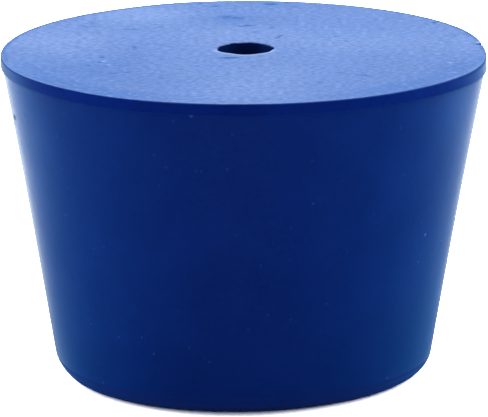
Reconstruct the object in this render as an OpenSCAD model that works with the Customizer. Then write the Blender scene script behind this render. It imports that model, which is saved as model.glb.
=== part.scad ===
// One-hole rubber stopper, moulded in one piece. The small end stands on z = 0,
// with the origin at the centre of the base and +Z along the bore.

/* [Tapered body] */
// Diameter of the top, over the trimmed band
top_d = 37; // [31:0.5:50]
// Diameter of the base, where the taper and the base would meet in a sharp edge
base_d = 28.5; // [16:0.5:35]
// Height from the base to the top face
height = 25; // [15:0.5:50]
// Radius of the moulded edge round the base
foot_r = 1.8; // [0.3:0.1:4]

/* [Trimmed band] */
// Height of the upright band, where the die cut the moulding out of its sheet
band_h = 0.9; // [0.4:0.1:4]
// How far the band stands proud of the taper
band_proud = 0.15; // [0.05:0.05:0.8]
// Radius of the band's upper edge, drawn over by the cut
band_edge_r = 0.15; // [0.05:0.05:0.35]

/* [Bore] */
// Diameter of the bore, a size under the tube that is pushed into it
bore_d = 4; // [2:0.5:12]
// Radius of the edge at each mouth of the bore
mouth_r = 0.25; // [0.05:0.05:1]

/* [Hidden] */
$fn = 180;
base_r = base_d / 2;
bore_r = bore_d / 2;
band_r = top_d / 2;
// The taper ends under the band, at the mould's parting face
taper_top_r = band_r - band_proud;
taper_top_z = height - band_h;
// Lean of the taper from upright
lean = atan((taper_top_r - base_r) / taper_top_z);
// Centre of the foot's arc, which is tangent to the base and to the taper
foot_x = base_r - foot_r * tan(45 - lean / 2);
// The taper's outline starts this far inside the foot's arc, so that the two cross cleanly
lap = 0.001;
// A cutter reaches this far outside the section that it rounds
spill = 1;

// What an arc of radius r cuts from a corner. The arc's centre is at the origin
// and the corner is towards +X and +Y.
module corner_cut(r) {
    difference() {
        square(r + spill);
        circle(r);
    }
}

// Half section of the tapered wall, from the bore out to the taper, with the foot's arc
module taper_section() {
    polygon([
        [bore_r, 0],
        [foot_x, 0],
        [foot_x, foot_r],
        [foot_x + (foot_r - lap) * cos(lean), foot_r - (foot_r - lap) * sin(lean)],
        [taper_top_r, taper_top_z],
        [bore_r, taper_top_z],
    ]);
    translate([foot_x, foot_r]) circle(foot_r);
}

// Half section of the upright band, with the arc along its upper edge
module band_section() {
    difference() {
        translate([bore_r, taper_top_z]) square([band_r - bore_r, band_h]);
        translate([band_r - band_edge_r, height - band_edge_r]) corner_cut(band_edge_r);
    }
}

// Half section of the whole moulding, with an arc at each mouth of the bore
module half_section() {
    difference() {
        union() {
            taper_section();
            band_section();
        }
        translate([bore_r + mouth_r, height - mouth_r]) mirror([1, 0]) corner_cut(mouth_r);
        translate([bore_r + mouth_r, mouth_r]) rotate(180) corner_cut(mouth_r);
    }
}

// The stopper, turned from its half section, so that the bore is left open
module stopper() {
    color("#1b3f8c") rotate_extrude() half_section();
}

stopper();
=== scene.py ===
import math
import random

import bmesh
import bpy
from mathutils import Matrix, Vector, bvhtree, kdtree, noise


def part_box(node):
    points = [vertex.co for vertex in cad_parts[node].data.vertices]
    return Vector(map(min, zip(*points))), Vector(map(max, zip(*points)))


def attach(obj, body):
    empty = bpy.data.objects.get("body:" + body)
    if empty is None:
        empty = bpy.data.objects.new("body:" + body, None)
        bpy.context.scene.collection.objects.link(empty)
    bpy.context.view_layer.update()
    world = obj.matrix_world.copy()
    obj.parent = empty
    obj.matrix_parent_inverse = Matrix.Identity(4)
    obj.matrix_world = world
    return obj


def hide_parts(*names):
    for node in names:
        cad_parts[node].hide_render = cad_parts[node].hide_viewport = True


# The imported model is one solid, the stopper. It stands on its small end at the origin
# with its bore upright, in metres.
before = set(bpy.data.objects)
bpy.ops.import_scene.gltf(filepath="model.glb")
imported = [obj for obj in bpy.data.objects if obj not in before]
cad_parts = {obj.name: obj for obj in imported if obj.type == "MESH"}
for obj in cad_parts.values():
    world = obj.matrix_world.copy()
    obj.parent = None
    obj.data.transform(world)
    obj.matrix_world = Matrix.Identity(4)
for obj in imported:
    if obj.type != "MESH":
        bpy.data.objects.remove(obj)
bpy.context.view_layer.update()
scene = bpy.context.scene

# ------------------------------------------------------------------------------------
# Camera: a long lens on a stand, 0.34 m in front of the stopper and looking down on its
# top at 14 degrees, so that the rim is drawn as a narrow, almost level ellipse.
MM = 0.001
lens_back = 343.65 * MM
lens_up = 100.01 * MM
lens_right = -0.036 * MM
look_down = math.radians(14.288)
roll = math.radians(-0.218)
camera_data = bpy.data.cameras.new("camera")
camera_data.sensor_width = 36
camera_data.lens = 340.85
camera = bpy.data.objects.new("camera", camera_data)
camera.matrix_world = (
    Matrix.Translation((lens_right, -lens_back, lens_up))
    @ Matrix.Rotation(math.pi / 2 - look_down, 4, "X")
    @ Matrix.Rotation(roll, 4, "Z")
)
scene.collection.objects.link(camera)
scene.camera = camera

# ------------------------------------------------------------------------------------
# Bench: a wide sheet of matt white paper, lying flat. It is exposed until it prints as
# pure white, and keeps only the soft shadow close under the stopper.
paper_half = 1.5
sheet = bmesh.new()
bmesh.ops.create_grid(sheet, x_segments=1, y_segments=1, size=paper_half)
bench_mesh = bpy.data.meshes.new("bench")
sheet.to_mesh(bench_mesh)
sheet.free()
bench = bpy.data.objects.new("bench", bench_mesh)
scene.collection.objects.link(bench)


def linear(hex_colour):
    """Gives an sRGB hex colour as the linear colour that a shader takes."""
    channels = [int(hex_colour[i : i + 2], 16) / 255 for i in (1, 3, 5)]
    return [*(c / 12.92 if c <= 0.04045 else ((c + 0.055) / 1.055) ** 2.4 for c in channels), 1]


def add(tree, kind, settings=None, links=None):
    """Adds a node with its settings and links. A node as a source stands for its first output."""
    node = tree.nodes.new("ShaderNode" + kind)
    for name, value in (settings or {}).items():
        if isinstance(name, str) and hasattr(node, name):
            setattr(node, name, value)
        else:
            node.inputs[name].default_value = value
    for name, source in (links or {}).items():
        output = source.outputs[0] if isinstance(source, bpy.types.Node) else source
        tree.links.new(output, node.inputs[name])
    return node


def shown(tree):
    """Adds nodes that give 1 on a ray to the camera, also by a mirror or through glass."""
    path = add(tree, "LightPath").outputs
    bent = {0: path["Is Glossy Ray"], 1: path["Is Transmission Ray"]}
    mirrored = add(tree, "Math", {"operation": "MAXIMUM"}, bent)
    return add(tree, "Math", {"operation": "MAXIMUM"}, {0: path["Is Camera Ray"], 1: mirrored})


# Uncoated paper: an even white with no gloss. To the camera, and in a mirror or through
# glass, it is bright enough to print pure white, and brighter still straight to the
# camera, so that only the closest shadow shows. To the stopper it stays plain paper,
# which is darker close by, where the stopper keeps the light off it. In the stopper's
# gloss that part is darker again, and so is the paper to the right.
# That darkening, close by and to the right, is painted shade in the paper's colour.
print_gain = 2.3
camera_gain = 2.0
shaded_light = 0.72
shaded_gloss = 0.5
shade_starts = 15 * MM
shade_ends = 60 * MM
dim_gloss = 0.82
dim_across = 30 * MM
paper = bpy.data.materials.new("white_paper")
paper.use_nodes = True
tree = paper.node_tree
tree.nodes.clear()
path = add(tree, "LightPath").outputs
to_camera = path["Is Camera Ray"]
in_gloss = path["Is Glossy Ray"]
spot = add(tree, "TexCoord").outputs["Object"]
away = add(tree, "VectorMath", {"operation": "LENGTH"}, {0: spot}).outputs["Value"]
across = add(tree, "SeparateXYZ", links={"Vector": spot}).outputs["X"]
exposure = add(tree, "MapRange", {"To Min": 1.0, "To Max": print_gain}, {"Value": shown(tree)})
near = add(tree, "MapRange", {"To Min": shaded_light, "To Max": shaded_gloss}, {"Value": in_gloss})
shade = add(
    tree,
    "MapRange",
    {"From Min": shade_starts, "From Max": shade_ends, "To Max": 1.0},
    {"Value": away, "To Min": near},
)
lit = add(tree, "Math", {"operation": "MAXIMUM"}, {0: shade, 1: to_camera})
exposure = add(tree, "Math", {"operation": "MULTIPLY"}, {0: exposure, 1: lit})
dimmer = add(
    tree,
    "MapRange",
    {"From Max": dim_across, "To Min": 1.0, "To Max": dim_gloss},
    {"Value": across},
)
plain = add(tree, "Math", {"operation": "SUBTRACT", 0: 1.0}, {1: in_gloss})
dimmer = add(tree, "Math", {"operation": "MAXIMUM"}, {0: dimmer, 1: plain})
exposure = add(tree, "Math", {"operation": "MULTIPLY"}, {0: exposure, 1: dimmer})
brighter = add(tree, "MapRange", {"To Min": 1.0, "To Max": camera_gain}, {"Value": to_camera})
exposure = add(tree, "Math", {"operation": "MULTIPLY"}, {0: exposure, 1: brighter})
white = add(
    tree, "VectorMath", {"operation": "SCALE", 0: linear("#EEEEEE")[:3]}, {"Scale": exposure}
)
pulp = add(tree, "BsdfDiffuse", links={"Color": white})
add(tree, "OutputMaterial", links={"Surface": pulp})
bench_mesh.materials.append(paper)

# ------------------------------------------------------------------------------------
# Light: a pale room all round, a softbox on a stand at each side, and a dimmer one
# overhead. Each softbox is a square of lit cloth that faces the stopper's middle.
room_light = 0.35
stopper_middle = Vector((0, 0, 0.012))
room = bpy.data.worlds.new("pale_room")
room.use_nodes = True
scene.world = room
tree = room.node_tree
tree.nodes.clear()
strength = add(tree, "MapRange", {"To Min": room_light, "To Max": 1.0}, {"Value": shown(tree)})
glow = add(tree, "Background", {"Color": (1, 1, 1, 1)}, {"Strength": strength})
add(tree, "OutputWorld", links={"Surface": glow})

for name, place, width, watts in (
    ("left_softbox", (-0.5, 0.1, 0.25), 0.5, 2.6),
    ("right_softbox", (0.5, 0.1, 0.25), 0.5, 2.6),
    ("top_softbox", (0, 0.1, 0.7), 0.6, 1.0),
):
    cloth = bpy.data.lights.new(name, "AREA")
    cloth.shape = "SQUARE"
    cloth.size = width
    cloth.energy = watts
    softbox = bpy.data.objects.new(name, cloth)
    towards = stopper_middle - Vector(place)
    turned = towards.to_track_quat("-Z", "Y").to_matrix().to_4x4()
    softbox.matrix_world = Matrix.Translation(place) @ turned
    scene.collection.objects.link(softbox)

# ------------------------------------------------------------------------------------
# Stopper: one block of blue rubber, pressed in a heated mould round a pin that leaves
# the bore. The mould gives it a taper, a soft edge round the foot and a matt skin. A die
# then cuts it out of its sheet, which leaves the upright band round the top.
low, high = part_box("stopper")
height = high.z
band_r = high.x
band_proud = 0.15 * MM
band_tall = 0.9 * MM
taper_top_r = band_r - band_proud
taper_top_z = height - band_tall
foot_r = 14.29 * MM
bore_r = 2.0 * MM
steps_round = 480

# Half section, with its corners still sharp.
stopper = bmesh.new()
section = [
    (bore_r, 0),
    (foot_r, 0),
    (taper_top_r, taper_top_z),
    (band_r, taper_top_z),
    (band_r, height),
    (bore_r, height),
]
points = [stopper.verts.new((x, 0, z)) for x, z in section]
lines = [stopper.edges.new((a, b)) for a, b in zip(points, points[1:] + points[:1])]
bmesh.ops.spin(
    stopper,
    geom=points + lines,
    axis=(0, 0, 1),
    cent=(0, 0, 0),
    angle=math.tau,
    steps=steps_round,
    use_merge=True,
)
bmesh.ops.recalc_face_normals(stopper, faces=stopper.faces)


def radius(vert):
    """How far a vertex lies from the axis."""
    return math.hypot(vert.co.x, vert.co.y)


# Two points of the section that lie closer than this are one place.
snug = 0.01 * MM


def edges_between(near, far):
    """The edges that join two places on the section, each given as (r, z), all round."""

    def at(vert, place):
        return abs(radius(vert) - place[0]) < snug and abs(vert.co.z - place[1]) < snug

    def joins(start, end):
        return at(start, near) and at(end, far)

    def found(edge):
        first, second = edge.verts
        return joins(first, second) or joins(second, first)

    return [edge for edge in stopper.edges if found(edge)]


# Each edge is rounded: the bore's mouths, the rim, the band's lower edge and the foot.
mouth_edge = 0.1 * MM
rim_edge = 0.08 * MM
burr_edge = 0.05 * MM
foot_edge = 1.52 * MM
for corner, offset, segments in (
    ((bore_r, height), mouth_edge, 4),
    ((bore_r, 0), mouth_edge, 4),
    ((band_r, height), rim_edge, 4),
    ((band_r, taper_top_z), burr_edge, 2),
    ((foot_r, 0), foot_edge, 12),
):
    bmesh.ops.bevel(
        stopper,
        geom=edges_between(corner, corner),
        offset=offset,
        segments=segments,
        profile=0.5,
        affect="EDGES",
        material=-1,
    )

# The corner where the band meets the wall stays sharp.
for edge in edges_between((taper_top_r, taper_top_z), (taper_top_r, taper_top_z)):
    edge.smooth = False

# The long faces are cut into narrow rings, which the dents and swells can move.
lean = math.atan2(taper_top_r - foot_r, taper_top_z)
foot_end = (foot_r + foot_edge * math.sin(lean), foot_edge * math.cos(lean))
for near, far, cuts in (
    ((bore_r + mouth_edge, height), (band_r - rim_edge, height), 89),
    ((band_r, height - rim_edge), (band_r, taper_top_z + burr_edge), 4),
    (foot_end, (taper_top_r, taper_top_z), 49),
    ((bore_r + mouth_edge, 0), (foot_r - foot_edge, 0), 15),
    ((bore_r, mouth_edge), (bore_r, height - mouth_edge), 15),
):
    bmesh.ops.subdivide_edges(
        stopper, edges=edges_between(near, far), cuts=cuts, use_grid_fill=True
    )

# Each face takes the finish that its tool left: the mould's wall, the press plate on the
# top, the die round the band, the pin in the bore, and the blasted floor of the mould, in
# three steps round the turn of the foot. These names stand in the order of the finishes
# below. A face's tilt is 1 where it faces straight up and -1 where it faces straight down.
wall, top, band, bore, upper_foot, lower_foot, base = range(7)
for face in stopper.faces:
    face.smooth = True
    face.material_index = wall
    middle = face.calc_center_median()
    out = math.hypot(middle.x, middle.y)
    tilt = face.normal.z
    if middle.z > taper_top_z - snug and out > taper_top_r and tilt < 0.99:
        face.material_index = band
    elif tilt > 0.5 and middle.z > taper_top_z:
        face.material_index = top
    elif out < bore_r + mouth_edge and middle.z > mouth_edge:
        face.material_index = bore
    elif tilt < -0.75:
        face.material_index = base
    elif tilt < -0.5:
        face.material_index = lower_foot
    elif tilt < -0.2:
        face.material_index = upper_foot

# Rubber shrinks unevenly as it cools, and stretches under the die. The wall is out of
# round and slightly hollow, the foot stands to the left of the top, and the top sags at
# the left. Each swell is an angle, a spread in degrees and a height in mm. On the band it
# is the height at the rim and then at the lower edge. The foot's fade out up the wall.
wall_swells = (
    (70, 20, -0.05),
    (165, 14, -0.06),
    (-22, 11, 0.23),
    (-45, 16, 0.12),
    (-90, 30, 0.03),
    (-112, 12, 0.1),
    (-158, 11, 0.14),
)
band_swells = (
    (3, 9, -0.2, -0.17),
    (-24, 10, 0, 0.14),
    (-158, 9, 0, -0.1),
)
foot_swells = (
    (-68, 26, -0.72),
    (-98, 10, -0.15),
    (-145, 10, 0.12),
    (-166, 8, -0.12),
)
foot_fade = 12 * MM
hollow = 0.08 * MM
foot_shift = 0.13 * MM
sag = 0.05 * MM
sag_starts = 4 * MM
sag_ends = 12 * MM
# The top lies this much lower, which leaves room for the raised lips of its marks.
burr_room = 0.03 * MM


def angle_of(vert):
    """A vertex's angle round the axis in degrees: 0 at the right and -90 at the front."""
    return math.degrees(math.atan2(vert.co.y, vert.co.x))


def hump(gap, spread):
    """A smooth rise from 0 to 1 and back, highest where the gap is 0."""
    return math.exp(-((gap / spread) ** 2) / 2)


def bump(angle, middle, spread):
    """A hump round the axis, centred on an angle in degrees."""
    return hump((angle - middle + 180) % 360 - 180, spread)


def ramp(value, start, end):
    """An even rise from 0 at the start to 1 at the end, level outside them."""
    return max(0, min(1, (value - start) / (end - start)))


for vert in stopper.verts:
    angle = angle_of(vert)
    up = vert.co.z / height
    out = min(1, radius(vert) / (foot_r + (taper_top_r - foot_r) * up))
    grow = sum(size * bump(angle, middle, spread) for middle, spread, size in wall_swells) * MM * up
    on_band = vert.co.z > taper_top_z - snug and radius(vert) > taper_top_r + snug
    if on_band or vert.co.z > height - snug:
        down = (height - vert.co.z) / band_tall
        for middle, spread, at_rim, at_lower_edge in band_swells:
            grow += (at_rim + (at_lower_edge - at_rim) * down) * MM * bump(angle, middle, spread)
    if vert.co.z < foot_fade:
        pulled = sum(size * bump(angle, middle, spread) for middle, spread, size in foot_swells)
        grow += pulled * MM * (1 - vert.co.z / foot_fade) ** 2
    if foot_end[1] < vert.co.z < taper_top_z:
        grow -= hollow * math.sin(math.pi * (vert.co.z - foot_end[1]) / (taper_top_z - foot_end[1]))
    left = ramp(-vert.co.x, sag_starts, sag_ends)
    vert.co.xy *= 1 + grow * out**3 / radius(vert)
    vert.co.x -= foot_shift * (1 - up)
    vert.co.z -= (sag * left * left * (3 - 2 * left) + burr_room) * up

# Wherever it sags, the top face lies above the first of these heights, and the rounded
# edges beside it lie mostly above the second.
top_low = height - 0.1 * MM
edge_low = height - 0.15 * MM

# Wear above 0 darkens, as dirt and as painted shade, and below 0 it lightens, as a pale
# scuff and as a painted highlight.
wear_and_painted_light = stopper.verts.layers.float.new("wear_and_painted_light")

# The pin stood a little behind the centre, and its hole has pulled in at the two front
# corners and drawn out to a point on the right. Its front lip is painted pale, as the
# highlight that its rounded edge catches. Each pull is an angle in degrees and a distance
# in mm, outwards from the widened mouth.
mouth_pulls = (
    (180, -0.05),
    (-160, 0.07),
    (-140, 0.01),
    (-120, -0.12),
    (-100, 0.06),
    (-80, 0.05),
    (-60, -0.07),
    (-40, 0.03),
    (-15, -0.1),
    (2, 0.09),
    (40, -0.04),
    (60, 0.04),
    (80, 0.03),
    (100, -0.03),
    (120, 0.03),
    (140, -0.07),
    (160, 0.02),
)
pull_spread = 12
mouth_wider = 0.136
mouth_shift = Vector((0.12, 0.48)) * MM
# The shift fades out by this radius, and the painted highlight on the lip lies between
# these two, at the front.
mouth_reach = 6 * MM
lip_inner = 2.1 * MM
lip_outer = 2.5 * MM
lip_front = 0.8 * MM
for vert in stopper.verts:
    if radius(vert) < mouth_reach and vert.co.z > height / 2:
        near = ramp(radius(vert), mouth_reach, bore_r)
        rise = ramp(vert.co.z, height / 2, height)
        angle = angle_of(vert)
        pull = sum(size * bump(angle, middle, pull_spread) for middle, size in mouth_pulls)
        shift = mouth_shift + vert.co.xy.normalized() * (mouth_wider + pull) * MM
        if vert.co.z > edge_low:
            vert[wear_and_painted_light] = -ramp(radius(vert), lip_outer, lip_inner) * ramp(-vert.co.y, 0, lip_front)
        vert.co.xy += shift * near * rise

# The press plate wasn't polished, so the top has a low, uneven grain, of 0.9 mm with a
# finer one of 0.4 mm over it, given here in waves per metre. It fades out round the mouth
# of the bore.
grain_depth = 0.006 * MM
coarse_waves = 1100
fine_waves = 2600
fine_share = 0.6
for vert in stopper.verts:
    if vert.co.z > top_low:
        calm = ramp(radius(vert), bore_r, bore_r + 1 * MM)
        rough = noise.noise(vert.co * coarse_waves) + fine_share * noise.noise(vert.co * fine_waves)
        vert.co.z += grain_depth * calm * rough

# Handling has left dents, scratches and specks, which dirt gathers in. In the dents the
# darkening is also painted shade, and on raised lips the paleness is a painted highlight.
stopper.verts.ensure_lookup_table()
stopper.normal_update()
skin = kdtree.KDTree(len(stopper.verts))
for vert in stopper.verts:
    skin.insert(vert.co, vert.index)
skin.balance()
facing = [vert.normal.copy() for vert in stopper.verts]


def mark(place, along, half_length, half_width, depth, stain_and_painted_light):
    """Presses an oval mark into the skin, or raises it if the depth is below 0, and adds wear,
    which stands for stains and also for painted shade and highlights.
    """
    reach = max(half_length, half_width)
    outward = facing[skin.find(place)[1]]
    across = outward.cross(along)
    for _, index, _ in skin.find_range(place, reach):
        vert = stopper.verts[index]
        gap = vert.co - place
        spread = (gap.dot(along) / half_length) ** 2 + (gap.dot(across) / half_width) ** 2
        if spread < 1:
            fall = (1 - spread) ** 2
            vert.co -= facing[index] * depth * fall
            vert[wear_and_painted_light] += stain_and_painted_light * fall


# A pale bloom of wax has come out of the rubber in soft clouds, and is rubbed off between
# them. The two strongest, at the left towards the back, are also painted light, where more
# light falls on the top. Each cloud on the top is across, back, its two spreads in mm and
# its strength.
bloom_and_painted_light = stopper.verts.layers.float.new("bloom_and_painted_light")
bloom_and_light_clouds = (
    (-8.3, 13.4, 2.6, 2.2, 1.5),
    (-14.0, 4.0, 2.8, 3.4, 0.88),
    (-12.5, -0.5, 1.8, 1.6, 0.25),
    (-4.6, 10.2, 2.0, 2.0, 0.22),
    (3.6, -8.4, 2.0, 2.0, 0.22),
    (-1.8, 4.2, 3.6, 3.2, 0.55),
    (0.6, 6.6, 2.4, 1.3, 0.3),
    (7.6, 2.2, 4.2, 2.8, 0.64),
    (14.5, 3.6, 3.0, 4.0, 0.26),
    (0.2, -13.8, 3.4, 4.8, 0.62),
    (-12.0, -7.6, 4.2, 4.0, -0.56),
    (-5.0, -7.0, 1.8, 3.0, 0.16),
    (-5.5, -11.5, 2.6, 2.6, -0.3),
    (-8.9, -1.2, 1.6, 3.2, -0.3),
    (10.4, -2.6, 1.8, 2.4, -0.2),
    (12.0, -9.0, 3.5, 3.0, -0.25),
    (16.2, -6.0, 1.4, 2.6, -0.4),
    (6.0, -12.5, 3.0, 2.5, -0.2),
    (-1.2, 10.8, 2.6, 1.6, -0.6),
    (2.5, 16.8, 4.0, 1.0, -0.3),
    (17.2, 1.5, 1.2, 3.0, 0.35),
    (-17.0, 3.6, 1.2, 2.0, 0.3),
    (3.2, -0.8, 1.2, 1.6, -0.18),
)
# It is also rubbed off round the front of the rim, where fingers hold it, and most of all
# at two places: angle and spread in degrees, and strength.
held_inner = 15.6 * MM
held_outer = 16.9 * MM
held_back = 1.5 * MM
held_front = -3.5 * MM
held_everywhere = 0.15
held_places = ((-124, 16, 0.5), (-50, 14, 0.5))
for vert in stopper.verts:
    if vert.co.z > edge_low:
        for across, back, wide, deep, strength in bloom_and_light_clouds:
            spread = ((vert.co.x / MM - across) / wide) ** 2 + ((vert.co.y / MM - back) / deep) ** 2
            vert[bloom_and_painted_light] += strength * math.exp(-spread / 2)
        rubbed = held_everywhere
        for middle, spread, strength in held_places:
            rubbed += strength * bump(angle_of(vert), middle, spread)
        held = ramp(radius(vert), held_inner, held_outer) * ramp(vert.co.y, held_back, held_front)
        vert[bloom_and_painted_light] -= held * rubbed

# Marks on the top: across, back, half length and half width in mm, heading in degrees,
# depth in mm and wear. Where a mark is pressed in, its wear darkens it as dirt and as
# painted shade, and where it is raised, its pale wear is a painted highlight. A mark with
# no depth is a stain.
for across, back, half_length, half_width, heading, depth, stain_and_painted_light in (
    (-1.3, 11.9, 1.1, 1.0, 3, 0.008, 0.4),
    (-0.4, 11.5, 0.8, 0.7, -6, 0.008, 0.35),
    (0.25, 8.67, 1.1, 0.26, 12, 0.03, 0.8),
    (-0.3, 7.7, 1.2, 0.24, -14, -0.02, -0.3),
    (0.94, 6.25, 0.6, 0.24, 0, 0.025, 0.6),
    (1.3, 6.9, 0.8, 0.22, -10, -0.015, -0.25),
    (2.19, 7.89, 0.22, 0.26, 0, 0.03, 1.0),
    (2.65, 4.5, 1.15, 0.16, 66, 0.04, 0.65),
    (-6.11, 1.84, 0.2, 0.28, 0, 0.02, 0.6),
    (-5.6, 1.0, 0.5, 0.2, -40, 0.01, 0.3),
    (2.17, 17.0, 0.9, 0.7, 0, 0.0, 0.6),
    (-2.3, 16.2, 0.8, 0.4, 0, 0.0, 0.45),
    (-3.4, 17.3, 0.35, 0.4, 0, 0.0, 0.7),
    (3.4, 17.4, 0.35, 0.4, 0, 0.0, 0.7),
    (4.1, 15.8, 0.5, 0.3, 0, 0.0, 0.4),
    (14.85, 9.52, 0.27, 0.4, 30, 0.04, 1.0),
    (15.2, 9.2, 0.25, 0.3, 0, -0.01, -0.4),
    (-10.85, -4.15, 0.22, 0.35, 0, 0.04, 0.6),
    (-10.6, -3.8, 0.28, 0.34, 0, -0.03, -1.1),
    (-10.49, -5.47, 0.28, 0.34, 0, 0.05, 0.5),
    (-10.15, -5.1, 0.25, 0.3, 0, -0.03, -1.1),
    (-11.7, -5.2, 0.25, 0.35, 0, 0.02, 0.5),
    (15.47, -4.88, 0.34, 0.26, 0, -0.02, -1.2),
    (15.65, -8.2, 0.4, 0.25, 5, -0.01, -0.4),
    (-1.05, -2.9, 1.2, 0.45, 8, 0.015, 0.75),
    (7.9, 2.9, 0.24, 0.34, 45, 0.03, 0.7),
    (8.3, 2.6, 0.2, 0.3, 0, -0.01, -0.6),
    (7.2, 6.3, 0.55, 0.3, 0, -0.01, -0.4),
    (7.1, 4.7, 0.3, 0.3, 0, 0.02, 0.5),
    (-8.35, 1.1, 1.3, 0.26, 90, 0.012, 0.4),
    (-9.95, 1.8, 0.2, 0.4, 0, 0.01, 0.35),
    (-10.7, -2.4, 0.22, 0.6, 0, 0.01, 0.4),
    (-12.4, 8.9, 0.6, 0.32, 0, 0.012, 0.5),
    (-11.7, 10.2, 0.5, 0.28, 10, 0.012, 0.4),
    (-8.7, 7.6, 1.4, 0.28, 2, 0.012, 0.45),
    (-15.7, 5.5, 0.7, 0.28, -5, -0.015, -0.45),
    (-8.67, -7.64, 0.22, 0.35, 0, 0.02, 0.6),
    (-9.7, -8.0, 0.5, 0.22, 0, 0.01, 0.4),
    (7.25, -8.26, 0.5, 0.24, 0, 0.015, 0.5),
    (8.94, -9.14, 1.0, 0.24, -8, 0.015, 0.45),
    (5.6, -11.4, 0.35, 0.24, 0, 0.015, 0.4),
    (16.2, 4.6, 0.4, 0.28, 0, 0.015, 0.45),
    (16.7, 3.2, 0.4, 0.28, 0, -0.015, -0.4),
    (15.6, 2.6, 0.35, 0.25, 0, 0.015, 0.4),
):
    turn = math.radians(heading)
    mark(
        Vector((across * MM, back * MM, height)),
        Vector((math.cos(turn), math.sin(turn), 0)),
        half_length * MM,
        half_width * MM,
        depth * MM,
        stain_and_painted_light,
    )

# A nick in from the rim at the right, with its lip turned up behind it: angle in degrees,
# distance from the axis, half length, half width and depth in mm, and wear. The dark wear
# in the nick is a painted shadow, and the pale wear on its lip a painted highlight.
for angle, out, half_length, half_width, depth, stain_and_painted_light in (
    (5.2, 17.9, 0.3, 0.26, 0.06, 1.2),
    (5.2, 18.25, 0.34, 0.32, 0.2, 1.6),
    (7.2, 18.15, 0.3, 0.45, -0.03, -2.2),
):
    turn = math.radians(angle)
    outward = Vector((math.cos(turn), math.sin(turn), 0))
    mark(
        outward * out * MM + Vector((0, 0, height)),
        outward,
        half_length * MM,
        half_width * MM,
        depth * MM,
        stain_and_painted_light,
    )

# A ring along the rim is darker, most of all round the back, and its outermost edge is
# painted paler, as the highlight that the edge catches.
dark_ring_inner = 18.05 * MM
dark_ring_outer = 18.43 * MM
dark_ring_front = -5 * MM
dark_ring_back = 5 * MM
dark_ring_strength = 0.44
painted_edge_highlight = 0.15
for vert in stopper.verts:
    if vert.co.z > top_low:
        if dark_ring_inner < radius(vert) < dark_ring_outer:
            vert[wear_and_painted_light] += dark_ring_strength * ramp(vert.co.y, dark_ring_front, dark_ring_back)
        elif radius(vert) > dark_ring_outer:
            vert[wear_and_painted_light] -= painted_edge_highlight

# Small random pits and scuffs over the top, clear of the bore. Each is 0.6 as wide as it
# is long.
dice = random.Random(7)
pits = 160
scatter = 18
pit_shape = 0.6
clear_of_bore = 3 * MM
for _ in range(pits):
    across = dice.uniform(-scatter, scatter)
    back = dice.uniform(-scatter, scatter)
    spot = Vector((across * MM, back * MM, height))
    turn = dice.uniform(0, math.pi)
    size = dice.uniform(0.25, 0.5) * MM
    depth = dice.uniform(-0.01, 0.015) * MM
    stain_and_painted_light = dice.uniform(-0.25, 0.3)
    if clear_of_bore < spot.xy.length < scatter * MM:
        along = Vector((math.cos(turn), math.sin(turn), 0))
        mark(spot, along, size, size * pit_shape, depth, stain_and_painted_light)

# Just under the band the wall is paler at both sides: partly rubbed by grips, and partly
# painted sheen, where the haze near the outline is broader. Low down by the foot, at both
# sides, it is painted darker, as shade close to the paper. The film of bloomed wax on the
# wall is thinner low down at both sides. Each patch is an angle and its spread in degrees,
# a height and its spread in mm, and a strength.
wall_scuffs_and_painted_light = (
    (-158, 8, 22, 5, 0.11),
    (-27, 7, 23.5, 3.2, 0.13),
    (-26, 16, 2.5, 3.5, -0.22),
    (-156, 14, 2, 3, -0.12),
)
thin_film = (
    (-17, 5.5, 8.5, 7.5, 0.65),
    (-170, 8, 4, 3, 0.35),
)
# Below the rim's edge, the band is scuffed at the same two sides, where it is also painted
# paler as sheen, and waxy at the right. Each strip is an angle and its spread in degrees,
# and a strength.
band_scuffs_and_painted_sheen = ((-17, 8, 0.17), (-158, 5, 0.1))
band_wax = ((-13, 8, 0.5),)
band_high = height - 0.12 * MM


def patches(vert, rows):
    """What a table of patches adds up to at a vertex on the wall."""
    angle = angle_of(vert)
    total = 0
    for middle, spread, up, tall, strength in rows:
        total += strength * hump(vert.co.z / MM - up, tall) * bump(angle, middle, spread)
    return total


def strips(vert, rows):
    """What a table of upright strips adds up to at a vertex on the band."""
    angle = angle_of(vert)
    return sum(strength * bump(angle, middle, spread) for middle, spread, strength in rows)


for vert in stopper.verts:
    if radius(vert) > foot_r and foot_end[1] < vert.co.z < taper_top_z:
        vert[wear_and_painted_light] -= patches(vert, wall_scuffs_and_painted_light)
        vert[bloom_and_painted_light] -= patches(vert, thin_film)
    elif radius(vert) > foot_r and taper_top_z < vert.co.z < band_high:
        vert[wear_and_painted_light] -= strips(vert, band_scuffs_and_painted_sheen)
        vert[bloom_and_painted_light] += strips(vert, band_wax)

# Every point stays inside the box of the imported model.
for vert in stopper.verts:
    vert.co.x = max(low.x, min(high.x, vert.co.x))
    vert.co.y = max(low.y, min(high.y, vert.co.y))
    vert.co.z = max(low.z, min(high.z, vert.co.z))

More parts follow.
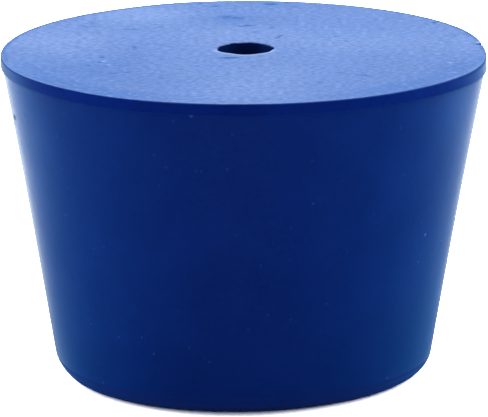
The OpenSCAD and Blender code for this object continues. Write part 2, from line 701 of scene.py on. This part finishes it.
# Specks on the wall that are finer than its mesh: angle, height in mm, radius in mm and
# wear. Each is set where a line from outside, in to the axis, meets the skin.
wall_skin = bvhtree.BVHTree.FromBMesh(stopper)
well_outside = 30 * MM
specks = []
for angle, up, size, stain_and_painted_light in (
    (-34.7, 12.8, 0.16, -0.6),
    (-102.0, 24.05, 0.22, -0.4),
    (-40.8, 1.6, 0.14, -0.3),
    (-36.0, 10.7, 0.14, -0.25),
    (-142.5, 14.6, 0.14, -0.25),
    (-73.0, 17.0, 0.14, -0.2),
    (-100.3, 19.7, 0.12, -0.15),
    (-116.7, 4.8, 0.14, -0.2),
    (-33.9, 6.1, 0.14, -0.2),
    (-138.4, 6.2, 0.14, -0.2),
    (-136.6, 1.6, 0.14, -0.2),
    (-128.1, 5.7, 0.13, -0.2),
    (-120.1, 6.0, 0.13, -0.2),
    (-100.2, 4.5, 0.13, -0.18),
    (-50.7, 22.1, 0.13, -0.16),
    (-24.0, 11.6, 0.14, -0.3),
    (-154.8, 21.7, 0.2, 0.5),
    (-153.5, 21.3, 0.2, 0.5),
    (-33.5, 12.55, 0.15, 0.6),
    (-28.9, 11.6, 0.15, 0.6),
    (-154.2, 12.5, 0.2, 0.6),
    (-156.3, 7.5, 0.2, 0.6),
    (-154.5, 3.5, 0.2, 0.6),
    (-24.5, 14.9, 0.2, 0.8),
    (-166.2, 20.8, 0.28, 1.4),
    (-165.3, 20.8, 0.3, 1.8),
    (-164.4, 20.8, 0.28, 1.4),
    (-167.5, 20.2, 0.22, 1.0),
    (-166.5, 20.2, 0.22, 1.0),
):
    turn = math.radians(angle)
    outward = Vector((math.cos(turn), math.sin(turn), 0))
    start = outward * well_outside + Vector((0, 0, up * MM))
    specks.append((wall_skin.ray_cast(start, -outward)[0], size * MM, stain_and_painted_light))

stopper_mesh = bpy.data.meshes.new("stopper_moulding")
stopper.to_mesh(stopper_mesh)
stopper.free()
stopper_piece = bpy.data.objects.new("stopper_moulding", stopper_mesh)
scene.collection.objects.link(stopper_piece)
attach(stopper_piece, "root")
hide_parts("stopper")

# The finishes are one rubber, filled and dyed blue, which mottles between a deep and a
# pale shade. Rubber's IOR is about 1.5, but its matt skin mirrors far less than that, and
# only at a shallow angle, so each has a black specular tint and a low IOR, matched to the
# stopper. The soft haze that it scatters at a shallow angle is the sheen. Roughness is
# given at the foot and at the top, a film of wax at its thinnest and thickest, and the
# grain's width and height in mm. The real grain, of about 0.05 mm, is too fine to show,
# so it is drawn as coarse as it needs to show.
# Each finish's pale colour for scuffs is also the colour of its painted highlights and sheen.
finishes = {
    # Moulded wall: pressed against smooth steel, so it is dense and dark, with a silvery
    # haze towards its outline. A thin, uneven film of bloomed wax gives it a sharper gloss.
    "moulded_rubber": dict(
        deep="#082372", pale="#0A297E", scuffed_and_highlight="#5EA8FF",
        haze="#00A2F8", haze_weight=0.78, haze_spread=0.42, film=(0.72, 1.0),
        ior=1.052, rough_low=0.08, rough_high=0.05, grain=0.4, grain_height=0.0015,
    ),
    # Pressed top: rubbed and bloomed to a chalky, paler blue with a mottled grain.
    "pressed_rubber": dict(
        deep="#1C408F", pale="#2350A8", scuffed_and_highlight="#B9C8F0",
        haze="#59A5FF", haze_weight=1.0, haze_spread=0.35, film=None,
        ior=1.3, rough_low=0.3, rough_high=0.3, grain=0.24, grain_height=0.02,
    ),
    # Die-cut band: fresh rubber sheared by a steel edge, darker and with less haze. Wax
    # lies on it only where it has been handled.
    "die_cut_rubber": dict(
        deep="#0A2073", pale="#0A277F", scuffed_and_highlight="#5EA8FF",
        haze="#00B3D8", haze_weight=0.64, haze_spread=0.35, film=(0.0, 0.0),
        ior=1.055, rough_low=0.3, rough_high=0.3, grain=0.4, grain_height=0.002,
    ),
    # Bore: smooth where the pin was drawn out. Its dye is painted darker than the wall's, as
    # the shade in it, because little light gets in.
    "pin_moulded_rubber": dict(
        deep="#081D51", pale="#08225C", scuffed_and_highlight="#5EA8FF",
        haze="#00B3FF", haze_weight=0.2, haze_spread=0.35, film=None,
        ior=1.08, rough_low=0.3, rough_high=0.3, grain=0.6, grain_height=0.001,
    ),
    # Turn of the foot and base: blasted, and duller the further they turn under. Their dye is
    # painted paler the further they turn under, as the light thrown up from the paper.
    "upper_foot_rubber": dict(
        deep="#122877", pale="#132E80", scuffed_and_highlight="#5EA8FF",
        haze="#00B3FF", haze_weight=0.44, haze_spread=0.35, film=None,
        ior=1.06, rough_low=0.4, rough_high=0.4, grain=0.6, grain_height=0.0015,
    ),
    "lower_foot_rubber": dict(
        deep="#172F80", pale="#183589", scuffed_and_highlight="#5EA8FF",
        haze="#00B3FF", haze_weight=0.15, haze_spread=0.35, film=None,
        ior=1.03, rough_low=0.6, rough_high=0.6, grain=0.6, grain_height=0.0015,
    ),
    "base_rubber": dict(
        deep="#223D84", pale="#22428D", scuffed_and_highlight="#5EA8FF",
        haze="#00B3FF", haze_weight=0.0, haze_spread=0.35, film=None,
        ior=1.02, rough_low=0.9, rough_high=0.9, grain=0.6, grain_height=0.0015,
    ),
}
# Dirt and painted shade darken towards this colour.
dirt_and_shade_colour = "#081A48"
wax_colour = "#A9BCF2"
# The dye and the filler are mixed unevenly, in clouds of this size.
filler_cloud = 4 * MM
# The press plate was ground from side to side, so its grain is drawn out this way.
ground_out = (0.5, 1, 1)
# Wax on the top: how much of its colour shows where there is least and most of it, how
# much more or less shows in its flecks and its smears, and the width of a smear.
veil_thin = 0.05
veil_thick = 0.395
fleck_contrast = 0.38
smear_contrast = 0.16
smear_width = 0.5 * MM
# Where the wax is rubbed off the top, the skin is left rougher by this much.
bare_roughness = 0.15
# Dust on the wall, in pale dots: how far apart they are, their radius as a share of that,
# and their wear.
dust_apart = 1.6 * MM
dust_size = 0.1
dust_wear = -0.12
# How much full wear darkens, as dirt and painted shade, lightens, as a scuff and painted
# highlight, and adds to the roughness.
full_dirt_and_shade = 0.9
full_scuff_and_highlight = 0.8
full_dull = 0.6
# The roughness given at the foot holds up to the first of these heights, and that given
# at the top from the second.
rough_starts = 1 * MM
rough_ends = 23 * MM

for name, look in finishes.items():
    rubber = bpy.data.materials.new(name)
    rubber.use_nodes = True
    tree = rubber.node_tree
    tree.nodes.clear()
    where = add(tree, "TexCoord").outputs["Object"]
    wax_and_painted_light = add(tree, "Attribute", {"attribute_name": "bloom_and_painted_light"}).outputs["Fac"]
    worn_and_painted_light = add(tree, "Attribute", {"attribute_name": "wear_and_painted_light"}).outputs["Fac"]

    # Two shades of dye, mixed by the grain and by the clouds of filler.
    along_grain = where
    if name == "pressed_rubber":
        along_grain = add(tree, "VectorMath", {"operation": "MULTIPLY", 1: ground_out}, {0: where})
    grain_width = look["grain"] * MM
    grain = add(
        tree,
        "TexNoise",
        {"Scale": 1 / grain_width, "Detail": 2.0, "Roughness": 0.6},
        {"Vector": along_grain},
    )
    filler = add(
        tree,
        "TexNoise",
        {"Scale": 1 / filler_cloud, "Detail": 3.0, "Roughness": 0.5},
        {"Vector": where},
    )
    mottle = add(tree, "Math", {"operation": "ADD"}, {0: grain, 1: filler})
    shade = add(tree, "MapRange", {"From Min": 0.7, "From Max": 1.3}, {"Value": mottle})
    shades = {"data_type": "RGBA", 6: linear(look["deep"]), 7: linear(look["pale"])}
    colour = add(tree, "Mix", shades, {0: shade}).outputs[2]

    # Bloomed wax veils the top, in the clouds set above, the strongest of which are also
    # painted light, and in finer flecks and smears.
    if name == "pressed_rubber":
        veil = add(
            tree,
            "MapRange",
            {"From Min": -0.35, "From Max": 1.15, "To Min": veil_thin, "To Max": veil_thick},
            {"Value": wax_and_painted_light},
        )
        smudge = add(tree, "TexNoise", {"Scale": 1 / smear_width, "Detail": 1.0}, {"Vector": where})
        for pattern, contrast in ((smudge, smear_contrast), (grain, fleck_contrast)):
            flecks = add(
                tree,
                "MapRange",
                {"From Min": 0.2, "From Max": 0.8, "To Min": -contrast, "To Max": contrast},
                {"Value": pattern},
            )
            veil = add(tree, "Math", {"operation": "ADD"}, {0: veil, 1: flecks})
        veil.use_clamp = True
        wax = {"data_type": "RGBA", 7: linear(wax_colour)}
        colour = add(tree, "Mix", wax, {0: veil, 6: colour}).outputs[2]

    # Dust and the single specks add to the wear of the wall.
    if name == "moulded_rubber":
        dust = add(tree, "TexVoronoi", {"Scale": 1 / dust_apart}, {"Vector": where})
        dots = add(
            tree,
            "MapRange",
            {"From Max": dust_size, "To Min": dust_wear, "To Max": 0.0},
            {"Value": dust.outputs["Distance"]},
        )
        worn_and_painted_light = add(tree, "Math", {"operation": "ADD"}, {0: worn_and_painted_light, 1: dots})
        for place, size, stain_and_painted_light in specks:
            away = add(tree, "VectorMath", {"operation": "DISTANCE", 1: place}, {0: where})
            dot = add(
                tree,
                "MapRange",
                {"From Max": size, "To Min": stain_and_painted_light, "To Max": 0.0},
                {"Value": away.outputs["Value"]},
            )
            worn_and_painted_light = add(tree, "Math", {"operation": "ADD"}, {0: worn_and_painted_light, 1: dot})

    # Wear above 0 darkens, as dirt and painted shade, and below 0 it lightens, as a pale
    # scuff and painted highlight. The darkened places are also duller.
    dirt_and_shade = add(tree, "MapRange", {"From Max": 1.0, "To Max": full_dirt_and_shade}, {"Value": worn_and_painted_light})
    dirty_and_shaded = {"data_type": "RGBA", 7: linear(dirt_and_shade_colour)}
    colour = add(tree, "Mix", dirty_and_shaded, {0: dirt_and_shade, 6: colour}).outputs[2]
    scuff_and_highlight = add(tree, "MapRange", {"From Max": -1.0, "To Max": full_scuff_and_highlight}, {"Value": worn_and_painted_light})
    scuffed_and_highlight = {"data_type": "RGBA", 7: linear(look["scuffed_and_highlight"])}
    colour = add(tree, "Mix", scuffed_and_highlight, {0: scuff_and_highlight, 6: colour}).outputs[2]
    level = add(tree, "SeparateXYZ", links={"Vector": where}).outputs["Z"]
    polish = add(
        tree,
        "MapRange",
        {
            "From Min": rough_starts,
            "From Max": rough_ends,
            "To Min": look["rough_low"],
            "To Max": look["rough_high"],
        },
        {"Value": level},
    )
    dull = add(tree, "MapRange", {"From Max": 1.0, "To Max": full_dull}, {"Value": worn_and_painted_light})
    polish = add(tree, "Math", {"operation": "ADD", "use_clamp": True}, {0: polish, 1: dull})
    if name == "pressed_rubber":
        bare = add(
            tree,
            "MapRange",
            {"From Min": -1.1, "From Max": -0.3, "To Min": bare_roughness, "To Max": 0.0},
            {"Value": wax_and_painted_light},
        )
        polish = add(tree, "Math", {"operation": "ADD", "use_clamp": True}, {0: polish, 1: bare})
    relief = add(
        tree,
        "Bump",
        {"Strength": 1.0, "Distance": look["grain_height"] * MM},
        {"Height": grain},
    )
    surface = add(
        tree,
        "BsdfPrincipled",
        {
            "IOR": look["ior"],
            "Specular Tint": linear("#000000"),
            "Sheen Weight": look["haze_weight"],
            "Sheen Roughness": look["haze_spread"],
            "Sheen Tint": linear(look["haze"]),
            "Coat Weight": 0.0,
            "Coat IOR": 1.06,
            "Coat Roughness": 0.06,
        },
        {"Base Color": colour, "Roughness": polish, "Normal": relief},
    )

    # The film of wax, which is the coat, follows the mottle and the bloom, and dirt and
    # painted shade hide it.
    if look["film"]:
        thin, thick = look["film"]
        film = add(
            tree,
            "MapRange",
            {"From Min": 0.75, "From Max": 1.25, "To Min": thin, "To Max": thick},
            {"Value": mottle},
        )
        film = add(tree, "Math", {"operation": "ADD"}, {0: film, 1: wax_and_painted_light})
        film = add(tree, "Math", {"operation": "SUBTRACT", "use_clamp": True}, {0: film, 1: dirt_and_shade})
        tree.links.new(film.outputs[0], surface.inputs["Coat Weight"])
    add(tree, "OutputMaterial", links={"Surface": surface})
    stopper_mesh.materials.append(rubber)

# ------------------------------------------------------------------------------------
# Colours are shown as they render, with no look laid over them.
scene.view_settings.view_transform = "Standard"
